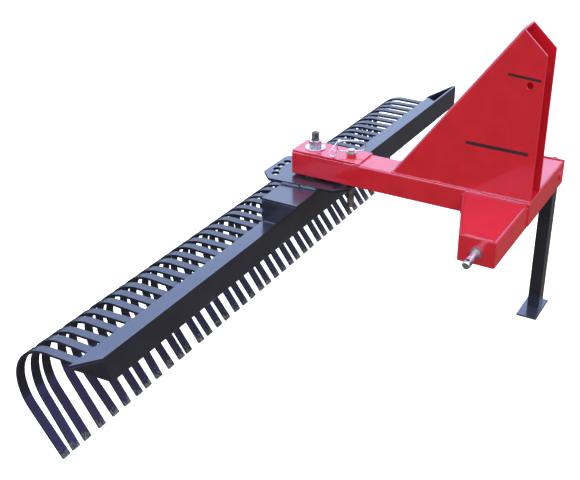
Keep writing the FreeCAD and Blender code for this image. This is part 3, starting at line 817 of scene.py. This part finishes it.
def makeBar(name, start, end, width, out):
    mastLow, mastHigh = (Vector(corner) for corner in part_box("mast"))
    face = mastHigh.y if out > 0 else mastLow.y
    run = (end - start).normalized()
    across = Vector((-run.y, run.x))
    outline = []
    for middle, way in ((end, 1), (start, -1)):
        for index in range(bars["perEnd"] + 1):
            turn = math.pi * (index / bars["perEnd"] - 0.5)
            outline.append(middle + (run * way * math.cos(turn) + across * way * math.sin(turn)) * width / 2)
    bm = bmesh.new()
    closedSkin(bm, [[Vector((mastHigh.x + point.x * mm, face + out * lift * mm, mastLow.z + point.y * mm))
                     for point in outline] for lift in (-bars["sunk"], bars["thickness"])])
    makePiece(name, smoothMesh(name, bm), bodyOf["mast"], stripeFilm)


for name, (start, end, width) in bars["stripes"].items():
    for side, out in (("right", -1), ("left", 1)):
        makeBar("mast_" + name + "_bar_" + side, Vector(start), Vector(end), width, out)
print("bars made")


# stand: the pin through the hole in its leg, below the bolt

lockPin = {
    "radius": 3.8, "below": 141.0, "forward": 6.0, "noseOut": 1.5, "headGap": 0.2, "headOut": 4.0,
    "headRadius": 7.0, "chamfer": 0.8, "sides": 32,
}


def makeLockPin():
    legLow, legHigh = (Vector(corner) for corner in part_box("stand_leg"))
    bolt = spot("stand_bolt", 0.5, 0.5, 0.5)
    axis = Vector(((legLow.x + legHigh.x) / 2 + lockPin["forward"] * mm, 0,
                   bolt.z - lockPin["below"] * mm))
    radius, chamfer, head = lockPin["radius"], lockPin["chamfer"], lockPin["headRadius"]
    nose, back = legLow.y - lockPin["noseOut"] * mm, legHigh.y + lockPin["headGap"] * mm
    outer = back + lockPin["headOut"] * mm
    profile = [(nose, radius - chamfer), (nose + chamfer * mm, radius), (back, radius),
               (back, head - chamfer), (back + chamfer * mm, head), (outer - chamfer * mm, head),
               (outer, head - chamfer)]
    turns = [2 * math.pi * index / lockPin["sides"] for index in range(lockPin["sides"])]
    bm = bmesh.new()
    closedSkin(bm, [[Vector((axis.x + reach * mm * math.cos(turn), y, axis.z + reach * mm * math.sin(turn)))
                     for turn in turns] for y, reach in profile])
    makePiece("stand_lock_pin", smoothMesh("stand_lock_pin", bm), bodyOf["stand_leg"], dullZincAndWasherShade)


makeLockPin()
print("lock pin made")


# stage: a pale floor, a soft studio dome, and the open sky that the gloss mirrors

stage = {
    "floor": "F2F0EC", "floorGlow": 0.9, "floorSize": 24.0, "floorDrop": 0.5,
    "backdrop": (0.99, 0.99, 0.99),
    "domeLight": (0.60, 0.60, 0.62), "domeGround": (0.50, 0.48, 0.46), "domeEdge": (-0.1, 0.1),
    "ground": (0.12, 0.11, 0.10), "groundEdge": (-0.05, 0.05),
    "skyLow": (0.95, 1.25, 1.90),
    # each colour that the mirrored sky turns to on the way up, and between which sines of the height
    "skyBands": [
        ((1.45, 1.80, 2.70), (0.30, 0.46)),      # by about 27 degrees
        ((1.18, 1.60, 2.75), (0.44, 0.54)),      # a little darker by about 33 degrees
        ((4.90, 6.00, 9.80), (0.60, 0.66)),      # the bright band, at about 41 to 46 degrees
        ((1.40, 1.75, 2.70), (0.72, 0.84)),      # and overhead
    ],
    # low on the far right, violet haze and a dark bank of trees: colour, way to it, cosines of its edge
    "skyPatches": [
        ((0.55, 0.45, 1.70), (0.85, 0.50, 0.25), (0.80, 0.95)),
        ((0.22, 0.22, 0.40), (0.55, 0.82, 0.25), (0.93, 1.00)),
    ],
    # way to the lamp, strength, width in degrees
    "lamps": {"key_lamp": ((0.2, -0.8, 0.55), 0.95, 50.0), "front_lamp": ((0.88, 0.42, 0.15), 1.2, 60.0)},
}


def makeFloor():
    mesh = bpy.data.meshes.new("floor")
    half, level = stage["floorSize"] / 2, -stage["floorDrop"] * mm
    mesh.from_pydata([(-half, -half, level), (half, -half, level), (half, half, level),
                      (-half, half, level)], [], [(0, 1, 2, 3)])
    material, tree = blankMaterial("pale_studio_floor")
    shader = addNode(tree, "ShaderNodeBsdfPrincipled", {
        "Base Color": linearColour(stage["floor"]), "Roughness": 1.0, "Specular IOR Level": 0.0,
        "Emission Color": (1, 1, 1, 1), "Emission Strength": stage["floorGlow"]})
    addNode(tree, "ShaderNodeOutputMaterial", {"Surface": shader.outputs["BSDF"]})
    mesh.materials.append(material)
    floor = bpy.data.objects.new("floor", mesh)
    bpy.context.scene.collection.objects.link(floor)
    # only seen directly: the object is lit and mirrored by the dome, the sky and the dark ground
    floor.visible_diffuse = floor.visible_glossy = floor.visible_shadow = False


def skyShade(colour):
    return (*colour, 1)


def turnsTo(tree, before, after, value, edge):
    # one part of the sky giving way to the next while the value crosses the edge
    low, high = edge
    share = addNode(tree, "ShaderNodeMapRange", {"Value": value, "From Min": low, "From Max": high},
                    interpolation_type="SMOOTHSTEP")
    return addNode(tree, "ShaderNodeMix", {0: share.outputs["Result"], 6: before, 7: after},
                   data_type="RGBA").outputs[2]


def makeSky():
    world = bpy.data.worlds.new("studio_sky")
    bpy.context.scene.world = world
    world.use_nodes = True
    tree = world.node_tree
    tree.nodes.clear()
    way = addNode(tree, "ShaderNodeTexCoord").outputs["Generated"]
    height = addNode(tree, "ShaderNodeSeparateXYZ", {"Vector": way}).outputs["Z"]
    sky = skyShade(stage["skyLow"])
    for colour, band in stage["skyBands"]:
        sky = turnsTo(tree, sky, skyShade(colour), height, band)
    for colour, towards, edge in stage["skyPatches"]:
        near = addNode(tree, "ShaderNodeVectorMath", {0: way, 1: Vector(towards).normalized()},
                       operation="DOT_PRODUCT")
        sky = turnsTo(tree, sky, skyShade(colour), near.outputs["Value"], edge)
    mirrored = turnsTo(tree, skyShade(stage["ground"]), sky, height, stage["groundEdge"])
    dome = turnsTo(tree, skyShade(stage["domeGround"]), skyShade(stage["domeLight"]), height,
                   stage["domeEdge"])
    # paint is lit by the dome, gloss mirrors the sky, and the camera sees the plain backdrop
    rays = addNode(tree, "ShaderNodeLightPath")
    shine = addNode(tree, "ShaderNodeMix", {
        0: rays.outputs["Is Diffuse Ray"], 6: mirrored, 7: dome}, data_type="RGBA")
    seen = addNode(tree, "ShaderNodeMix", {
        0: rays.outputs["Is Camera Ray"], 6: shine.outputs[2], 7: skyShade(stage["backdrop"])},
        data_type="RGBA")
    background = addNode(tree, "ShaderNodeBackground", {"Color": seen.outputs[2]})
    addNode(tree, "ShaderNodeOutputWorld", {"Surface": background.outputs["Background"]})


def makeLamp(name, way, strength, angle):
    data = bpy.data.lights.new(name, "SUN")
    data.energy = strength
    data.angle = math.radians(angle)
    lamp = bpy.data.objects.new(name, data)
    lamp.rotation_mode = "QUATERNION"
    lamp.rotation_quaternion = Vector(way).to_track_quat("Z", "Y")
    lamp.visible_glossy = False
    bpy.context.scene.collection.objects.link(lamp)


makeFloor()
makeSky()
for name, (way, strength, angle) in stage["lamps"].items():
    makeLamp(name, way, strength, angle)
bpy.context.scene.view_settings.view_transform = "Standard"
print("stage made")
